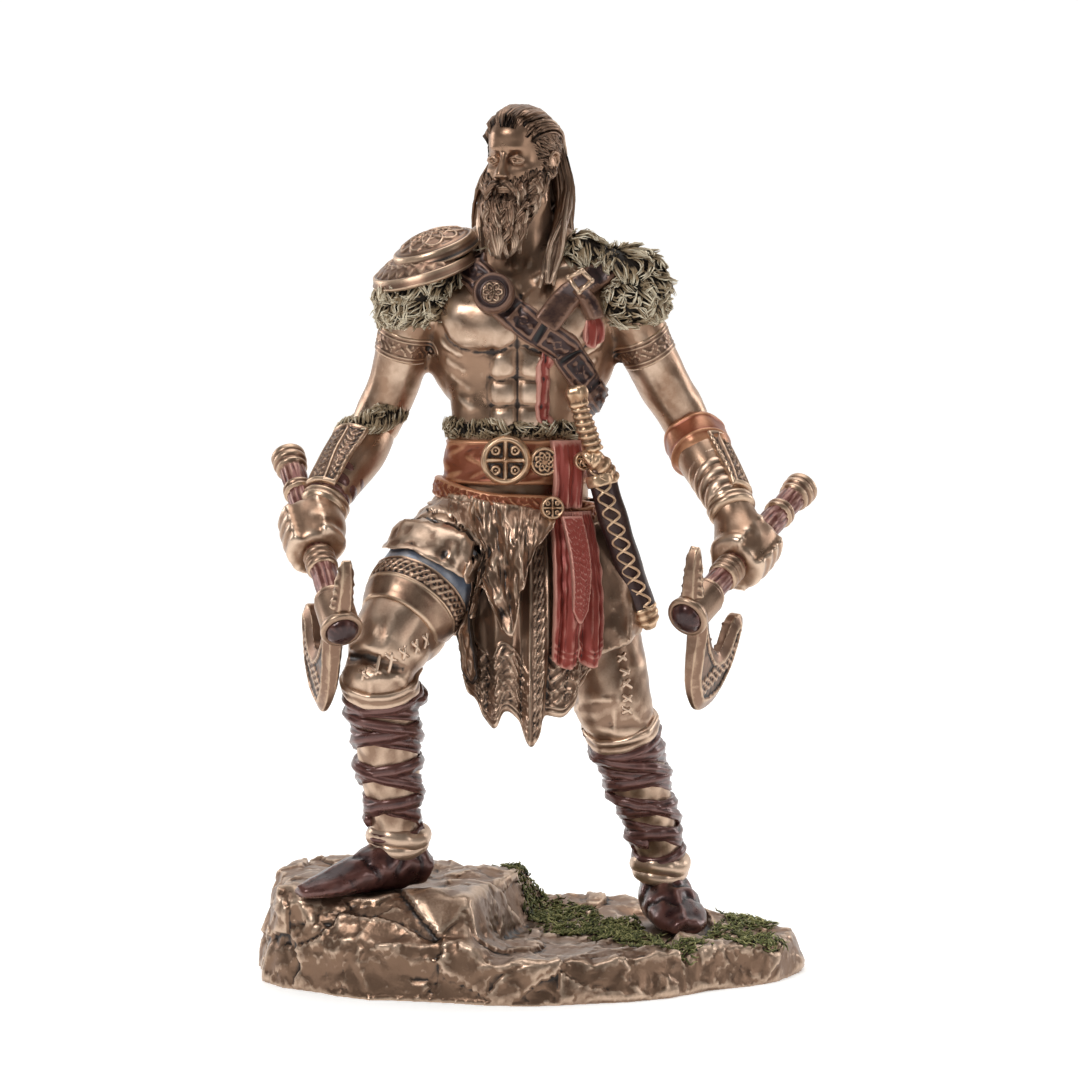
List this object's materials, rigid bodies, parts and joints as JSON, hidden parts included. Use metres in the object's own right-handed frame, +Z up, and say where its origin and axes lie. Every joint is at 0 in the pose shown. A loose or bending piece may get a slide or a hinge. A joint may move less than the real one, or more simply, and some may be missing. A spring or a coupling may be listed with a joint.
{
  "type": "viking warrior statue",
  "caption": "Standing bearded viking warrior figurine in antiqued bronze look, an axe in each fist, on a rough rock base.",
  "frame": {"origin": "centre of the rock base's flat underside", "axes": "+Z up through the standing figure, which faces -Y; +X is towards the figure's left"},
  "size_m": [0.1625, 0.0976, 0.2502],
  "materials": {
    "cast_bronze": "antiqued bronze, satin, dark wash in the recesses, painted leather, cloth and fur",
    "bronzed_rock": "rough antiqued bronze with moss-green patches",
    "axe_bronze": "antiqued bronze heads and caps, red-brown painted hafts"
  },
  "bodies": {
    "root": {"figure": "cast_bronze", "rock_base": "bronzed_rock", "right_axe": "axe_bronze", "left_axe": "axe_bronze"}
  },
  "joints": []
}
